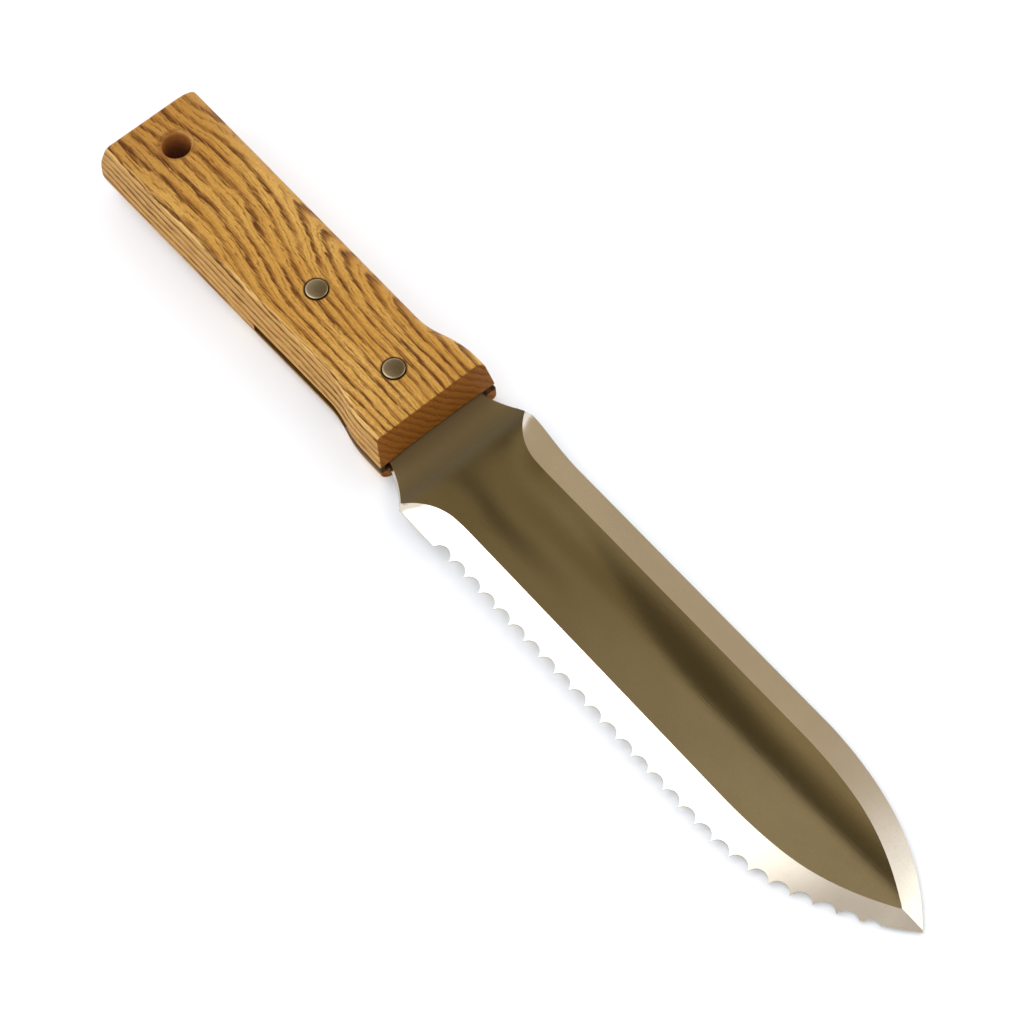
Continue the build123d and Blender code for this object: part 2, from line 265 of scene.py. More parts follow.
def build_handle():
    stations = []
    for k in range(BUTT_STEPS):
        depth = BUTT_ROUND * (1 - math.cos(math.pi / 2 * k / (BUTT_STEPS - 1)))
        stations.append((BUTT_X + depth, *[quarter_round(depth, r) for r in BUTT_ROUNDINGS]))
    straight = FRONT_X - FRONT_ROUND - BUTT_X - BUTT_ROUND
    for k in range(1, GRIP_STEPS):
        stations.append((BUTT_X + BUTT_ROUND + straight * k / GRIP_STEPS, 0.0, 0.0, 0.0))
    for k in range(FRONT_STEPS):
        depth = FRONT_ROUND * (1 - math.sin(math.pi / 2 * k / (FRONT_STEPS - 1)))
        inset = quarter_round(depth, FRONT_ROUND)
        stations.append((FRONT_X - depth, inset, inset, inset))
    verts = []
    for x, side_inset, top_inset, bottom_inset in stations:
        loop = handle_section(x, side_inset, top_inset, bottom_inset)
        fade = max(0.0, (BUTT_SLOPE_END_X - x) / (BUTT_SLOPE_END_X - BUTT_X))
        ahead = np.clip((x - FRONT_LEAN_X) / (FRONT_X - FRONT_LEAN_X), 0.0, 1.0) ** 2
        for y, z in loop:
            lean_back = FRONT_LEAN * float(smooth_step(z, 2.0, HANDLE_TOP)) * ahead
            verts.append(((x + butt_slope(z) * fade - lean_back) * MM, y * MM, z * MM))
    around = len(verts) // len(stations)
    faces = grid_faces(len(stations), around, closed=True)
    faces.append(tuple(range(around)))
    faces.append(tuple(len(verts) - around + k for k in range(around)))
    mesh = bpy.data.meshes.new("handle_wood")
    mesh.from_pydata(verts, [], faces)
    face_outward(mesh)
    piece = new_object("handle_wood", mesh)

    cutters = []
    slot = [
        (x * MM, y * MM, z * MM)
        for x in (SLOT_REAR_X, FRONT_X + 10) for y in (SLOT_FLOOR_Y, 40.0)
        for z in (-SLOT_HALF, SLOT_HALF + SLOT_GAP)
    ]
    slot_faces = [(0, 1, 3, 2), (4, 6, 7, 5), (0, 4, 5, 1), (2, 3, 7, 6), (0, 2, 6, 4), (1, 5, 7, 3)]
    slot_mesh = bpy.data.meshes.new("slot_cutter")
    slot_mesh.from_pydata(slot, [], slot_faces)
    face_outward(slot_mesh)
    cutters.append(new_object("slot_cutter", slot_mesh))

    def bore_profile(radius, flare):
        """A cutter's profile: the bore, opening out with a quarter round at both faces."""
        steps = 6
        low = [(radius + flare, -HANDLE_BOTTOM - 1.0)]
        for k in range(steps + 1):
            angle = math.pi / 2 * k / steps
            low.append((
                radius + flare * (1 - math.sin(angle)),
                -HANDLE_BOTTOM + flare * (1 - math.cos(angle)),
            ))
        high = [(r, HANDLE_TOP - HANDLE_BOTTOM - z) for r, z in reversed(low)]
        return low + high

    for name, (x, y), radius, flare in (
        ("hole_cutter", (0.0, 0.0), HOLE_RADIUS, 1.2),
        ("rear_rivet_cutter", RIVETS[0], RIVET_RADIUS + 0.08, 0.3),
        ("front_rivet_cutter", RIVETS[1], RIVET_RADIUS + 0.08, 0.3),
    ):
        cutter = lathe(name, bore_profile(radius, flare), 64)
        cutter.data.transform(Matrix.Translation((x * MM, y * MM, 0)))
        cutters.append(cutter)

    for cutter in cutters:
        modifier = piece.modifiers.new(cutter.name, "BOOLEAN")
        modifier.operation = "DIFFERENCE"
        modifier.solver = "EXACT"
        modifier.object = cutter
    apply_modifiers(piece)
    for cutter in cutters:
        bpy.data.objects.remove(cutter)
    piece.data.set_sharp_from_angle(angle=math.radians(32))
    for polygon in piece.data.polygons:
        polygon.use_smooth = True
    weighted = piece.modifiers.new("weighted", "WEIGHTED_NORMAL")
    weighted.keep_sharp = True
    weighted.weight = 90
    apply_modifiers(piece)
    return piece


# ------------------------------------------------------------------ blade
STEEL_HALF = 1.0
BEVEL_TOP = 1.31                # height of the ridge between panel and bevel
BEVEL_BOTTOM = 0.2              # height of the cutting edge
TANG_HALF, TANG_FLARE_X = 13.0, 96.0
TANG_CORNER = 3.0
NECK_HALF, NECK_REAR_X = 16.0, 104.0
NECK_X = 108.0                  # the neck's curve starts at the handle's front face
NECK_MIDDLE = (114.3, 18.4)
SERRATED_SHOULDER = (119.8, 22.0)
PLAIN_SHOULDER = (120.8, 21.6)
EDGE_START_X = 142.0
PLAIN_EDGE, PLAIN_EDGE_END_X = 20.0, 235.0
SERRATED_START, SERRATED_EDGE, SERRATED_END_X = 22.1, 22.8, 230.0
PANEL_HALF, PANEL_END_X = 13.0, 234.0
PANEL_TIP_X = 284.4
PANEL_CORNER = (119.3, 20.9)
RUNOUT_X = 132.5                # the bevels run out into the shoulders with this arc
RUNOUT_RADIUS = 15.0
NECK_EDGE_BREAK = 0.8           # width of the broken edge along the neck
DISH, DISH_WIDTH = 0.9, 22.0
GULLET_RADIUS, GULLET_DEPTH = 3.1, 2.3
FIRST_GULLET, GULLET_PITCH = 17.2, 5.95
GULLET_COUNT = 26
FULL_GULLETS, GULLET_FADE = 23, 0.15    # the last few get shallower
TIP_SLOPE = -0.95               # both edges' slope where they meet at the tip
BEVEL_STEPS = 5
PANEL_STEPS = 28
serrated_tip = clamped_spline(
    [
        (SERRATED_END_X, SERRATED_EDGE), (242, 22.6), (253, 21.1), (264.5, 17.6), (274, 12.9),
        (283, 7.2), (TIP_X, 0),
    ],
    0.0, TIP_SLOPE,
)
plain_tip = clamped_spline(
    [(PLAIN_EDGE_END_X, PLAIN_EDGE), (256, 18), (271.5, 13.5), (282.5, 7.6), (TIP_X, 0)],
    0.0, TIP_SLOPE,
)
plain_bend = clamped_spline([PLAIN_SHOULDER, (130, 20.85), (EDGE_START_X, PLAIN_EDGE)], 0.0, 0.0)
panel_tip = clamped_spline(
    [(PANEL_END_X, PANEL_HALF), (258, 10.4), (272.5, 5.8), (PANEL_TIP_X, 0)], 0.0, -0.55
)


def arc_height(x, three_points):
    """Height at x of the arc through three points, on the middle point's side of its centre."""
    centre, radius = circle_through(*three_points)
    side = np.sign(three_points[1][1] - centre[1])
    return centre[1] + side * np.sqrt(np.maximum(0.0, radius ** 2 - (x - centre[0]) ** 2))


def tang_width(x):
    """Half width of the tang, with its rounded rear corners and the flare to the neck."""
    width = s_shape(x, TANG_FLARE_X, TANG_HALF, NECK_REAR_X, NECK_HALF)
    corner = np.clip(TANG_CORNER - (x - TANG_REAR_X), 0.0, TANG_CORNER)
    return width - (TANG_CORNER - np.sqrt(np.maximum(0.0, TANG_CORNER ** 2 - corner ** 2)))


def plain_edge(x):
    x = np.asarray(x, float)
    neck = arc_height(x, ((NECK_X, NECK_HALF), NECK_MIDDLE, PLAIN_SHOULDER))
    return np.select(
        [x < NECK_X, x < PLAIN_SHOULDER[0], x < EDGE_START_X, x < PLAIN_EDGE_END_X],
        [tang_width(x), neck, plain_bend(x), np.full_like(x, PLAIN_EDGE)],
        plain_tip(x),
    )


def serrated_edge(x):
    x = np.asarray(x, float)
    neck = arc_height(x, ((NECK_X, NECK_HALF), NECK_MIDDLE, SERRATED_SHOULDER))
    shoulder_x, shoulder = SERRATED_SHOULDER
    heel = shoulder + (SERRATED_START - shoulder) * (x - shoulder_x) / (EDGE_START_X - shoulder_x)
    spread = (SERRATED_EDGE - SERRATED_START) / (SERRATED_END_X - EDGE_START_X)
    return np.select(
        [x < NECK_X, x < shoulder_x, x < EDGE_START_X, x < SERRATED_END_X],
        [tang_width(x), neck, heel, SERRATED_START + spread * (x - EDGE_START_X)],
        serrated_tip(x),
    )


def panel_edge(x, edge):
    """Half width of the panel between the bevels, where the bevels' faces would start."""
    x = np.asarray(x, float)
    runout = RUNOUT_RADIUS + PANEL_HALF - np.sqrt(
        np.maximum(0.0, RUNOUT_RADIUS ** 2 - (x - RUNOUT_X) ** 2)
    )
    neck = arc_height(x, (
        (NECK_X, NECK_HALF - NECK_EDGE_BREAK),
        (NECK_MIDDLE[0], NECK_MIDDLE[1] - NECK_EDGE_BREAK),
        PANEL_CORNER,
    ))
    line = np.select(
        [x < NECK_X, x < PANEL_CORNER[0], x < RUNOUT_X, x < PANEL_END_X, x < PANEL_TIP_X],
        [edge(x) - NECK_EDGE_BREAK, neck, runout, np.full_like(x, PANEL_HALF), panel_tip(x)],
        0.0,
    )
    return np.maximum(np.minimum(line, edge(x) - 0.3), 0.0)


def sheet_height(x, y, side):
    """Top (side 1) or underside (side -1) of the dished sheet before it is ground."""
    rise = DISH * smooth_step(x, 110.0, 138.0) * (y / DISH_WIDTH) ** 2
    lift = smooth_step(x, 255.0, TIP_X)
    if side > 0:
        return STEEL_HALF + 0.3 * lift + rise
    return -STEEL_HALF + 0.6 * lift + rise


def gullets():
    """Centres of the round gullets of the serrated edge."""
    xs = np.linspace(SERRATED_SHOULDER[0], TIP_X, 4000)
    ys = serrated_edge(xs)
    length = np.concatenate([[0], np.cumsum(np.hypot(np.diff(xs), np.diff(ys)))])
    centres = []
    for k in range(GULLET_COUNT):
        along = FIRST_GULLET + GULLET_PITCH * k
        x = np.interp(along, length, xs)
        y = np.interp(along, length, ys)
        rise = np.interp(along + 0.5, length, ys) - np.interp(along - 0.5, length, ys)
        run = np.interp(along + 0.5, length, xs) - np.interp(along - 0.5, length, xs)
        faded = max(0, k + 1 - FULL_GULLETS)
        outward = GULLET_RADIUS - GULLET_DEPTH + GULLET_FADE * faded ** 2
        size = math.hypot(run, rise)
        centres.append((x - outward * rise / size, y + outward * run / size))
    return centres


GULLETS = gullets()


def toothed_edge(x):
    """The serrated edge with its gullets, as a half width."""
    y = serrated_edge(x)
    for cx, cy in GULLETS:
        reach = GULLET_RADIUS ** 2 - (x - cx) ** 2
        arc = cy - np.sqrt(np.maximum(reach, 0.0))
        y = np.where(reach > 0, np.minimum(y, arc), y)
    return y


def build_blade():
    # stations along the blade: evenly spaced, with more at the corners and one at each tooth's tip
    xs = list(np.arange(TANG_REAR_X + TANG_CORNER, TIP_X - 0.3, 0.4))
    xs += [TANG_REAR_X + TANG_CORNER * (1 - math.cos(math.pi / 2 * k / 8)) for k in range(1, 8)]
    xs += [TANG_REAR_X + 0.002, NECK_X, SERRATED_SHOULDER[0], PLAIN_SHOULDER[0]]
    xs += [TIP_X - 0.15, TIP_X - 0.05]
    for (ax, ay), (bx, by) in zip(GULLETS, GULLETS[1:]):
        apart = math.dist((ax, ay), (bx, by))
        half = apart / 2
        drop = math.sqrt(max(0.0, GULLET_RADIUS ** 2 - half ** 2))
        xs.append((ax + bx) / 2 + drop * (by - ay) / apart)
    xs = np.array(sorted(xs))
    keep = np.concatenate([[True], np.diff(xs) > 0.03])
    xs = xs[keep]

    rows_top, rows_low = [], []
    for x in xs:
        plain = float(plain_edge(x))
        teeth = float(toothed_edge(x))
        full = float(serrated_edge(x))
        plain_panel = float(panel_edge(x, plain_edge))
        serrated_panel = float(panel_edge(x, serrated_edge))

        ahead = min(max((x - PANEL_TIP_X) / (TIP_X - PANEL_TIP_X), 0.0), 1.0)
        ridge = BEVEL_TOP - (BEVEL_TOP - BEVEL_BOTTOM) * ahead

        def ground(y, panel, edge):
            """Height of the bevel's flat, falling from the ridge to the cutting edge."""
            if edge - panel < 1e-6:
                return BEVEL_BOTTOM
            return ridge - (ridge - BEVEL_BOTTOM) * (y - panel) / (edge - panel)

        def meeting(panel, edge):
            """Where the bevel's flat meets the dished panel."""
            low, high = panel - 0.2, edge
            for _ in range(30):
                middle = (low + high) / 2
                if ground(middle, panel, edge) > sheet_height(x, middle, 1):
                    low = middle
                else:
                    high = middle
            return max(low, min(0.03, edge / 2))

        plain_line = min(meeting(plain_panel, plain), plain)
        serrated_line = min(meeting(serrated_panel, full), teeth - 0.01)
        ys, zs = [], []
        for k in range(BEVEL_STEPS + 1):
            y = -teeth + (teeth - serrated_line) * k / BEVEL_STEPS
            ys.append(y)
            zs.append(min(ground(-y, serrated_panel, full), sheet_height(x, y, 1)))
        for k in range(1, PANEL_STEPS):
            y = -serrated_line + (serrated_line + plain_line) * k / PANEL_STEPS
            ys.append(y)
            zs.append(sheet_height(x, y, 1))
        for k in range(BEVEL_STEPS + 1):
            y = plain_line + (plain - plain_line) * k / BEVEL_STEPS
            ys.append(y)
            zs.append(min(ground(y, plain_panel, plain), sheet_height(x, y, 1)))
        rows_top.append([(x, y, z) for y, z in zip(ys, zs)])
        rows_low.append([(x, y, float(sheet_height(x, y, -1))) for y in ys])

    cols = len(rows_top[0])
    verts = []
    for top, low in zip(rows_top, rows_low):
        loop = top + low[::-1]
        verts.extend((x * MM, (y + BLADE_AXIS_Y) * MM, z * MM) for x, y, z in loop)
    around = 2 * cols
    faces = grid_faces(len(rows_top), around, closed=True)
    first = list(range(around))
    last = [len(verts) - around + k for k in range(around)]
    for ring in (first, last):
        for k in range(cols - 1):
            faces.append((ring[k], ring[k + 1], ring[around - 2 - k], ring[around - 1 - k]))
    mesh = bpy.data.meshes.new("blade_steel")
    mesh.from_pydata(verts, [], faces)
    ground_columns = set(range(BEVEL_STEPS)) | set(range(cols - 1 - BEVEL_STEPS, cols - 1))
    for index, polygon in enumerate(mesh.polygons):
        polygon.use_smooth = True
        if index < (len(rows_top) - 1) * around:
            column = index % around
            if column in ground_columns or column in (cols - 1, around - 1):
                polygon.material_index = 1
    crease = {BEVEL_STEPS, cols - 1 - BEVEL_STEPS, 0, cols - 1, cols, around - 1}
    for edge in mesh.edges:
        a, b = edge.vertices
        if abs(a - b) == around and a % around in crease:
            edge.use_edge_sharp = True
    face_outward(mesh)
    piece = new_object("blade_steel", mesh)
    weighted = piece.modifiers.new("weighted", "WEIGHTED_NORMAL")
    weighted.keep_sharp = True
    apply_modifiers(piece)
    return piece


# ------------------------------------------------------------------ rivets
HEAD_STAND_OUT = 0.33
HEAD_CLEARANCE = 0.12           # a dark line shows round the head
HEAD_DOME = 0.10
HEAD_ROLL, HEAD_ROLL_WIDTH = 0.08, 0.45
HEAD_STEPS = 16


def build_rivet(name, centre):
    rim = RIVET_RADIUS - HEAD_CLEARANCE
    profile = []
    for side in (-1, 1):
        wood = HANDLE_TOP if side > 0 else -HANDLE_BOTTOM
        face = wood + side * HEAD_STAND_OUT
        cap = []
        for k in range(HEAD_STEPS + 1):
            radius = rim * math.sin(math.pi / 2 * k / HEAD_STEPS)
            dome = HEAD_DOME * (radius / rim) ** 2
            out = max(0.0, radius - rim + HEAD_ROLL_WIDTH) / HEAD_ROLL_WIDTH
            roll = HEAD_ROLL * (1 - math.sqrt(max(0.0, 1 - out ** 2)))
            cap.append((max(radius, 0.02), face - side * (dome + roll)))
        profile += cap if side < 0 else list(reversed(cap))
    piece = lathe(name, profile, 72)
    piece.data.transform(Matrix.Translation((centre[0] * MM, centre[1] * MM, 0)))
    for polygon in piece.data.polygons:
        polygon.use_smooth = True
    return piece


# ------------------------------------------------------------------ node helpers
class Graph:
    """Short names for the shader nodes that the materials are made of."""

    def __init__(self, tree):
        self.tree = tree

    def add(self, kind, **settings):
        node = self.tree.nodes.new(kind)
        for key, value in settings.items():
            setattr(node, key, value)
        return node

    def feed(self, socket, value):
        if isinstance(value, bpy.types.NodeSocket):
            self.tree.links.new(value, socket)
        else:
            socket.default_value = value

    def math(self, operation, *values):
        node = self.add("ShaderNodeMath", operation=operation)
        for socket, value in zip(node.inputs, values):
            self.feed(socket, value)
        return node.outputs[0]

    def vector(self, operation, a, b=None, scale=None):
        node = self.add("ShaderNodeVectorMath", operation=operation)
        self.feed(node.inputs[0], a)
        if b is not None:
            self.feed(node.inputs[1], b)
        if scale is not None:
            self.feed(node.inputs["Scale"], scale)
        return node.outputs["Value"] if operation == "LENGTH" else node.outputs[0]

    def split(self, vector):
        node = self.add("ShaderNodeSeparateXYZ")
        self.feed(node.inputs[0], vector)
        return node.outputs

    def join(self, x, y, z):
        node = self.add("ShaderNodeCombineXYZ")
        for socket, value in zip(node.inputs, (x, y, z)):
            self.feed(socket, value)
        return node.outputs[0]

    def step(self, value, start, end, low=0.0, high=1.0):
        """A smooth step from low at start to high at end."""
        node = self.add("ShaderNodeMapRange", interpolation_type="SMOOTHSTEP")
        for socket, item in zip(node.inputs, (value, start, end, low, high)):
            self.feed(socket, item)
        return node.outputs[0]

    def noise(self, vector, scale, detail, roughness=0.5):
        node = self.add("ShaderNodeTexNoise")
        self.feed(node.inputs["Vector"], vector)
        self.feed(node.inputs["Scale"], scale)
        self.feed(node.inputs["Detail"], detail)
        self.feed(node.inputs["Roughness"], roughness)
        return node.outputs[0]

    def mix(self, factor, a, b):
        """Colour a where the factor is 0, b where it is 1."""
        node = self.add("ShaderNodeMix", data_type="RGBA")
        self.feed(node.inputs[0], factor)
        self.feed(node.inputs[6], a)
        self.feed(node.inputs[7], b)
        return node.outputs[2]

    def bump(self, height, strength, distance):
        node = self.add("ShaderNodeBump")
        self.feed(node.inputs["Strength"], strength)
        self.feed(node.inputs["Distance"], distance)
        self.feed(node.inputs["Height"], height)
        return node.outputs[0]


def srgb(red, green, blue):
    """An sRGB colour of 0 to 255 as the linear RGBA the nodes use."""
    return tuple(
        (v / 255 / 12.92) if v / 255 <= 0.04045 else ((v / 255 + 0.055) / 1.055) ** 2.4
        for v in (red, green, blue)
    ) + (1.0,)


def new_material(name):
    material = bpy.data.materials.new(name)
    material.use_nodes = True
    graph = Graph(material.node_tree)
    shader = material.node_tree.nodes["Principled BSDF"]
    place = graph.add("ShaderNodeTexCoord").outputs["Object"]
    mm = graph.vector("SCALE", place, scale=1000.0)
    return material, graph, shader, mm


# ------------------------------------------------------------------ wood
RING_Y, RING_Z = 0.80, 0.60      # which way the growth rings face across the handle
RING_SPACING = 2.0


def wood_material():
    material, g, shader, mm = new_material("ash_wood")
    x, y, z = g.split(mm)
    # the figure: the rings hump towards the plain side behind the rivets, then run straight
    late_x = g.math("SUBTRACT", x, g.math("MULTIPLY", g.math("MAXIMUM", y, 0.0), 0.5))
    hump = g.math("SUBTRACT", g.step(x, -18.0, 20.0, 0.0, 1.6), g.step(x, 20.0, 58.0, 0.0, 3.0))
    hump = g.math("MULTIPLY", hump, g.step(y, -18.0, -10.0, 0.1, 1.0))
    # the rings are wide towards the butt and close up towards the blade
    close = g.math("ADD", g.step(x, -18.0, 20.0, 0.0, -0.08), g.step(late_x, 18.0, 84.0, 0.70, 1.08))
    slow = g.noise(g.vector("MULTIPLY", mm, (0.03, 0.10, 0.10)), 1.0, 2.0)
    fine = g.noise(g.vector("MULTIPLY", mm, (0.16, 0.6, 0.6)), 1.0, 2.0)
    wander = g.math("ADD", g.math("MULTIPLY", g.math("SUBTRACT", slow, 0.5), 2.6),
                    g.math("MULTIPLY", g.math("SUBTRACT", fine, 0.5), 0.9))
    across = g.math("MULTIPLY", g.math("ADD", g.math("SUBTRACT", y, hump), 14.5), close)
    across = g.math("ADD", g.math("MULTIPLY", across, RING_Y), g.math("MULTIPLY", z, RING_Z))
    ring = g.math("ADD", g.math("DIVIDE", g.math("ADD", across, wander), RING_SPACING), 40.0)
    # pores: short dark dashes along the grain
    dash = g.noise(g.vector("MULTIPLY", mm, (0.22, 3.6, 3.6)), 1.0, 4.0, 0.65)
    pores = g.step(dash, 0.42, 0.60)
    # each ring starts with a dark band of large pores and fades into dense latewood
    ragged = g.math("ADD", ring, g.math("MULTIPLY", g.math("SUBTRACT", dash, 0.5), 0.45))
    phase = g.math("FRACT", ragged)
    band = g.math("MULTIPLY", g.step(phase, 0.0, 0.12), g.step(phase, 0.20, 0.72, 1.0, 0.0))
    # the rings are not all equally dark along their length
    weight = g.noise(g.vector("MULTIPLY", mm, (0.035, 0.30, 0.30)), 1.0, 2.0)
    band = g.math("MULTIPLY", band, g.step(weight, 0.34, 0.60, 0.6, 1.0))
    grain = g.math("MULTIPLY", band, g.math("MULTIPLY_ADD", pores, 0.55, 0.45))
    # thin lines inside the rings
    thin = g.math("FRACT", g.math("MULTIPLY", ragged, 2.7))
    thin = g.math("MULTIPLY", g.step(thin, 0.0, 0.12), g.step(thin, 0.15, 0.45, 1.0, 0.0))
    thin = g.math("MULTIPLY", thin, g.step(dash, 0.42, 0.62, 0.0, 0.65))
    grain = g.math("MAXIMUM", grain, thin)
    # colours
    tone = g.noise(g.vector("MULTIPLY", mm, (0.02, 0.12, 0.12)), 1.0, 3.0)
    late = g.mix(g.step(tone, 0.3, 0.7), srgb(192, 141, 61), srgb(215, 170, 90))
    late = g.mix(g.step(phase, 0.45, 1.0, 0.0, 0.5), late, srgb(198, 148, 66))
    late = g.mix(g.step(x, 22.0, -12.0, 0.0, 0.55), late, srgb(160, 108, 42))
    fleck = g.noise(g.vector("MULTIPLY", mm, (1.1, 6.0, 6.0)), 1.0, 2.0)
    late = g.mix(g.step(fleck, 0.38, 0.68, 0.0, 0.6), late, srgb(152, 101, 38))
    normal = g.add("ShaderNodeNewGeometry").outputs["Normal"]
    nx, ny = g.split(normal)[:2]
    # painted light: the narrow side is painted paler where it faces -Y, as if lit from that side
    lit_side_paint = g.step(ny, -0.45, -0.90)
    late = g.mix(g.math("MULTIPLY", lit_side_paint, 0.75), late, srgb(194, 148, 78))
    # painted highlight along the narrow side's upper edge
    painted_edge_highlight = g.math("MULTIPLY", g.step(ny, -0.15, -0.40), g.step(ny, -0.80, -0.97, 1.0, 0.0))
    late = g.mix(g.math("MULTIPLY", painted_edge_highlight, 0.7), late, srgb(224, 184, 116))
    brown = g.mix(g.step(grain, 0.45, 0.95), srgb(128, 77, 25), srgb(84, 45, 14))
    colour = g.mix(g.step(grain, 0.05, 0.70, 0.0, 0.97), late, brown)
    # end grain is darker and redder, with small round pores
    end = g.step(nx, 0.55, 0.85)
    butt_end = g.step(nx, -0.70, -0.92)
    end_any = g.math("MAXIMUM", end, butt_end)
    pits = g.noise(g.vector("MULTIPLY", mm, (0.4, 3.2, 3.2)), 1.0, 3.0)
    end_colour = g.mix(g.step(pits, 0.36, 0.64), srgb(176, 110, 38), srgb(124, 72, 20))
    end_colour = g.mix(g.math("MULTIPLY", band, 0.5), end_colour, srgb(102, 56, 14))
    colour = g.mix(end_any, colour, end_colour)
    # painted shade: the inside of the milled slot is painted dark, as are a ring round each rivet and
    # the drilled hole
    slot_painted_shade = g.math("MULTIPLY", g.step(z, -1.3, -1.15), g.step(z, 1.62, 1.50))
    slot_painted_shade = g.math("MULTIPLY", slot_painted_shade, g.step(x, 51.0, 51.7))
    colour = g.mix(g.math("MULTIPLY", slot_painted_shade, 0.85), colour, srgb(40, 22, 10))
    # painted shade: a dark ring round each rivet head, where the gap round it lies in shade
    for cx, cy in RIVETS:
        away = g.vector("LENGTH", g.join(g.math("SUBTRACT", x, cx), g.math("SUBTRACT", y, cy), 0.0))
        rivet_ring_shade = g.step(away, 3.85, 3.30)
        colour = g.mix(g.math("MULTIPLY", rivet_ring_shade, 0.9), colour, srgb(38, 22, 10))
    # painted shade: a darker ring round the hole's rim, and the hole's wall painted darker towards the
    # bottom
    away = g.vector("LENGTH", g.join(x, y, 0.0))
    colour = g.mix(g.step(away, 5.5, 4.9, 0.0, 0.45), colour, srgb(120, 76, 32))
    hole_wall_shade = g.mix(g.step(z, 13.4, 4.0), srgb(186, 124, 62), srgb(136, 78, 38))
    colour = g.mix(g.step(away, 4.6, 4.1, 0.0, 0.9), colour, hole_wall_shade)
    g.feed(shader.inputs["Base Color"], colour)
    g.feed(shader.inputs["Roughness"], g.math("MULTIPLY_ADD", grain, 0.22, 0.52))
    shader.inputs["Specular IOR Level"].default_value = 0.12
    relief = g.math("SUBTRACT", g.math("MULTIPLY", fleck, 0.2), grain)
    g.feed(shader.inputs["Normal"], g.bump(relief, 0.7, 0.00025))
    return material


# ------------------------------------------------------------------ steel
# painted shade and reflection: the dark colour the steel is given in the corner by the wood
PAINTED_NECK_SHADE = srgb(128, 112, 78)
PAINTED_NECK_SHADE_X = (123.0, 111.0)         # the panel's steel is painted dark between these, towards the wood, as shade and a dark reflection


def steel_material(name, tint, rough, neck_rough, brush_scale, brush_depth):
    """Brushed steel, with a second roughness and, where it has one, a corner by the wood painted dark as
    shade and reflection, less metallic and rougher there.
    """
    material, g, shader, mm = new_material(name)
    lines = g.noise(g.vector("MULTIPLY", mm, brush_scale), 1.0, 3.0, 0.6)
    cloud = g.noise(g.vector("MULTIPLY", mm, (0.05, 0.09, 0.09)), 1.0, 3.0)
    speck = g.noise(mm, 3.0, 2.0)
    colour = g.mix(g.step(cloud, 0.3, 0.7), tint, tuple(v * 0.93 for v in tint[:3]) + (1.0,))
    colour = g.mix(g.step(speck, 0.3, 0.8, 0.0, 0.12), colour, srgb(120, 108, 90))
    shader.inputs["Metallic"].default_value = 1.0
    shader.inputs["Specular IOR Level"].default_value = 0.1
    if neck_rough != rough:
        along = g.split(mm)[0]
        rough = g.step(along, 112.0, 126.0, neck_rough, rough)
        # painted shade and reflection: the steel is painted dark in the corner by the wood, and made
        # less metallic and rougher there
        neck_shade_mask = g.step(along, *PAINTED_NECK_SHADE_X)
        outside_neck_shade = g.math("POWER", g.math("SUBTRACT", 1.0, neck_shade_mask), 3.2)
        colour = g.mix(outside_neck_shade, PAINTED_NECK_SHADE, colour)
        rough = g.math("MULTIPLY_ADD", neck_shade_mask, 0.10, rough)
        g.feed(shader.inputs["Metallic"], g.math("MULTIPLY_ADD", neck_shade_mask, -0.6, 1.0))
    g.feed(shader.inputs["Base Color"], colour)
    g.feed(shader.inputs["Roughness"], g.math("MULTIPLY_ADD", lines, 0.04, rough))
    g.feed(shader.inputs["Normal"], g.bump(lines, brush_depth, 0.00002))
    return material


handle = build_handle()
handle.data.materials.clear()
handle.data.materials.append(wood_material())
blade = build_blade()
blade.data.materials.append(
    steel_material("satin_steel", srgb(192, 184, 166), 0.03, 0.08, (0.12, 4.0, 4.0), 0.08)
)
blade.data.materials.append(
    steel_material("ground_steel", srgb(204, 196, 182), 0.15, 0.15, (4.5, 0.25, 0.25), 0.10)
)
pin_steel = steel_material("pin_steel", srgb(142, 126, 98), 0.19, 0.19, (1.6, 1.6, 1.6), 0.12)
pins = []
for node, centre in zip(("rivet_rear", "rivet_front"), RIVETS):
    pin = build_rivet(node + "_pin", centre)
    pin.data.materials.append(pin_steel)
    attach(pin, "root")
    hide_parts(node)
    pins.append(pin)
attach(handle, "root")
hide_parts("handle")
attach(blade, "root")
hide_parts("blade")

# ------------------------------------------------------------------ floor, at the knife's resting tilt
TIP_UNDERSIDE = 0.4             # mm from the blade's middle plane to its lowest point at the tip
rest_drop = (HANDLE_BOTTOM - TIP_UNDERSIDE) * MM
tip_drop = TIP_UNDERSIDE * MM
reach = (TIP_X - FRONT_X) * MM
tilt = math.atan2(rest_drop - tip_drop, reach)
floor_mesh = bpy.data.meshes.new("floor")
FLOOR_SIZE, FLOOR_CELLS = 4.0, 8
floor_verts = [
    ((i / FLOOR_CELLS - 0.5) * FLOOR_SIZE, (j / FLOOR_CELLS - 0.5) * FLOOR_SIZE, 0.0)
    for i in range(FLOOR_CELLS + 1) for j in range(FLOOR_CELLS + 1)
]
floor_mesh.from_pydata(floor_verts, [], grid_faces(FLOOR_CELLS + 1, FLOOR_CELLS + 1, closed=False))
floor = new_object("floor", floor_mesh)
floor.matrix_world = (
    Matrix.Translation((FRONT_X * MM, 0, -HANDLE_BOTTOM * MM - 0.0002))
    @ Matrix.Rotation(-tilt, 4, "Y")
)
floor_material = bpy.data.materials.new("floor_white")
floor_material.use_nodes = True
floor_shader = floor_material.node_tree.nodes["Principled BSDF"]
floor_shader.inputs["Base Color"].default_value = (0.81, 0.835, 0.87, 1.0)
floor_shader.inputs["Roughness"].default_value = 0.9
floor_shader.inputs["Emission Color"].default_value = (1.0, 1.0, 1.0, 1.0)
floor_shader.inputs["Emission Strength"].default_value = 0.16
floor_mesh.materials.append(floor_material)

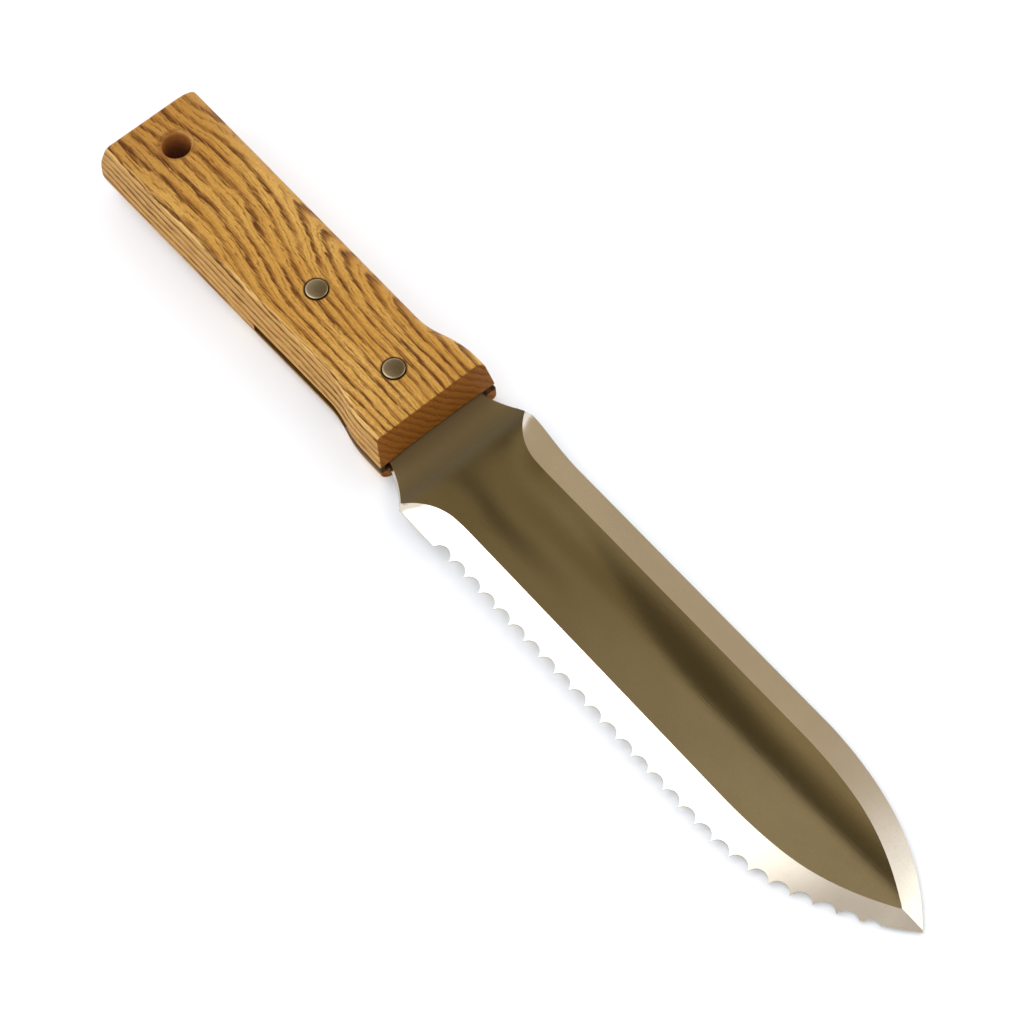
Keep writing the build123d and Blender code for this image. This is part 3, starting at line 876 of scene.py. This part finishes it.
# ------------------------------------------------------------------ light
world = bpy.data.worlds.new("studio")
bpy.context.scene.world = world
world.use_nodes = True
wg = Graph(world.node_tree)
background = world.node_tree.nodes["Background"]
direction = wg.add("ShaderNodeTexCoord").outputs["Generated"]
dx, dy, dz = wg.split(direction)


def band_at(value, centre, half, soft):
    """1 inside centre +- half, falling to 0 over the soft distance outside."""
    off = wg.math("ABSOLUTE", wg.math("SUBTRACT", value, centre))
    return wg.step(off, half + soft, half)


# the world is painted by direction: a dark warm room between a bright window on one side and a
# beige wall on the other, as the polished panel and bevels mirror them
room = wg.mix(wg.step(dx, -0.42, -0.26), srgb(140, 124, 88), srgb(186, 170, 137))
room = wg.mix(wg.step(dy, 0.268, 0.256), room, srgb(140, 124, 88))
room = wg.mix(wg.step(dy, 0.242, 0.212), room, srgb(172, 154, 116))
room = wg.mix(wg.math("MULTIPLY", wg.step(dx, -0.36, -0.41), wg.step(dy, 0.24, 0.2)), room,
              srgb(128, 112, 74))
# a dark streak, soft above and sharp below, and a shorter one nearer the handle
streak_low = wg.step(dx, -0.40, -0.32, 0.199, 0.269)
streak_top = wg.step(dx, -0.345, -0.275, 0.213, 0.246)
streak = wg.math("MULTIPLY", wg.step(wg.math("SUBTRACT", dy, streak_top), -0.028, 0.016),
                 wg.step(wg.math("SUBTRACT", dy, streak_low), 0.004, -0.003))
streak = wg.math("MULTIPLY", streak, wg.step(dx, -0.41, -0.35))
second_y = wg.step(dx, -0.43, -0.39, 0.250, 0.296)
second = wg.math("MULTIPLY", band_at(wg.math("SUBTRACT", dy, second_y), 0.0, 0.005, 0.016),
                 wg.step(dx, -0.36, -0.40))
shade = wg.math("MAXIMUM", streak, wg.math("MULTIPLY", second, 0.85))
room = wg.mix(shade, room, srgb(92, 80, 54))
white = (1.42, 1.42, 1.44, 1.0)
beige = srgb(210, 192, 162)
sky = wg.mix(wg.step(dx, 0.1, 0.75), white, (0.60, 0.60, 0.60, 1.0))
upward = wg.math("MULTIPLY", wg.step(dx, -0.62, -0.50), wg.step(dx, -0.14, -0.22))
upward = wg.math("MULTIPLY", upward, wg.step(dz, 0.45, 0.6))
ceiling = (0.74, 0.68, 0.62, 1.0)
lamp = wg.mix(wg.step(dx, -0.27, -0.17), (3.6, 3.6, 3.7, 1.0), ceiling)
window = wg.step(dy, 0.16, 0.06)
wall = wg.step(dy, 0.36, 0.44)
inner = wg.mix(wall, wg.mix(window, room, lamp), beige)
inner_zone = wg.math("MULTIPLY", upward, wg.step(dy, -0.30, -0.20))
inner_zone = wg.math("MULTIPLY", inner_zone, wg.step(dy, 0.78, 0.68))
# beyond them the tip of the blade sees a dimmer ceiling on one side and a lamp on the other
dim = wg.math("MULTIPLY", wg.step(dx, -0.30, -0.16), wg.step(dx, 0.34, 0.24))
dim = wg.math("MULTIPLY", dim, wg.math("MULTIPLY", wg.step(dy, 0.32, 0.24), wg.step(dy, -0.16, -0.06)))
dim = wg.math("MULTIPLY", dim, wg.step(dz, 0.6, 0.75))
surround = wg.mix(dim, sky, ceiling)
glow = wg.math("MULTIPLY", wg.step(dx, -0.12, -0.03), wg.step(dx, 0.30, 0.20))
glow = wg.math("MULTIPLY", glow, wg.math("MULTIPLY", wg.step(dy, 0.36, 0.44), wg.step(dy, 0.7, 0.6)))
surround = wg.mix(glow, surround, (2.4, 2.4, 2.4, 1.0))
wg.feed(background.inputs["Color"], wg.mix(inner_zone, surround, inner))
background.inputs["Strength"].default_value = 1.0

# ------------------------------------------------------------------ camera
AZIMUTH = math.radians(56.07)
ELEVATION = math.radians(61.71)
ROLL = math.radians(-6.69)
TARGET = Vector((139.55, 0.33, 0.0)) * MM
DISTANCE = 865.68 * MM
right = Vector((math.cos(AZIMUTH), math.sin(AZIMUTH), 0.0))
forward = Vector((
    -math.sin(AZIMUTH) * math.cos(ELEVATION), math.cos(AZIMUTH) * math.cos(ELEVATION),
    -math.sin(ELEVATION),
))
up = right.cross(forward)
rolled_right = right * math.cos(ROLL) + up * math.sin(ROLL)
rolled_up = up * math.cos(ROLL) - right * math.sin(ROLL)
camera_data = bpy.data.cameras.new("camera")
camera_data.sensor_width = 36.0
camera_data.lens = 118.77
camera_data.clip_start = 0.01
camera = bpy.data.objects.new("camera", camera_data)
bpy.context.scene.collection.objects.link(camera)
rotation = Matrix((rolled_right, rolled_up, -forward)).transposed().to_4x4()
camera.matrix_world = Matrix.Translation(TARGET - forward * DISTANCE) @ rotation
bpy.context.scene.camera = camera
bpy.context.scene.view_settings.view_transform = "Standard"
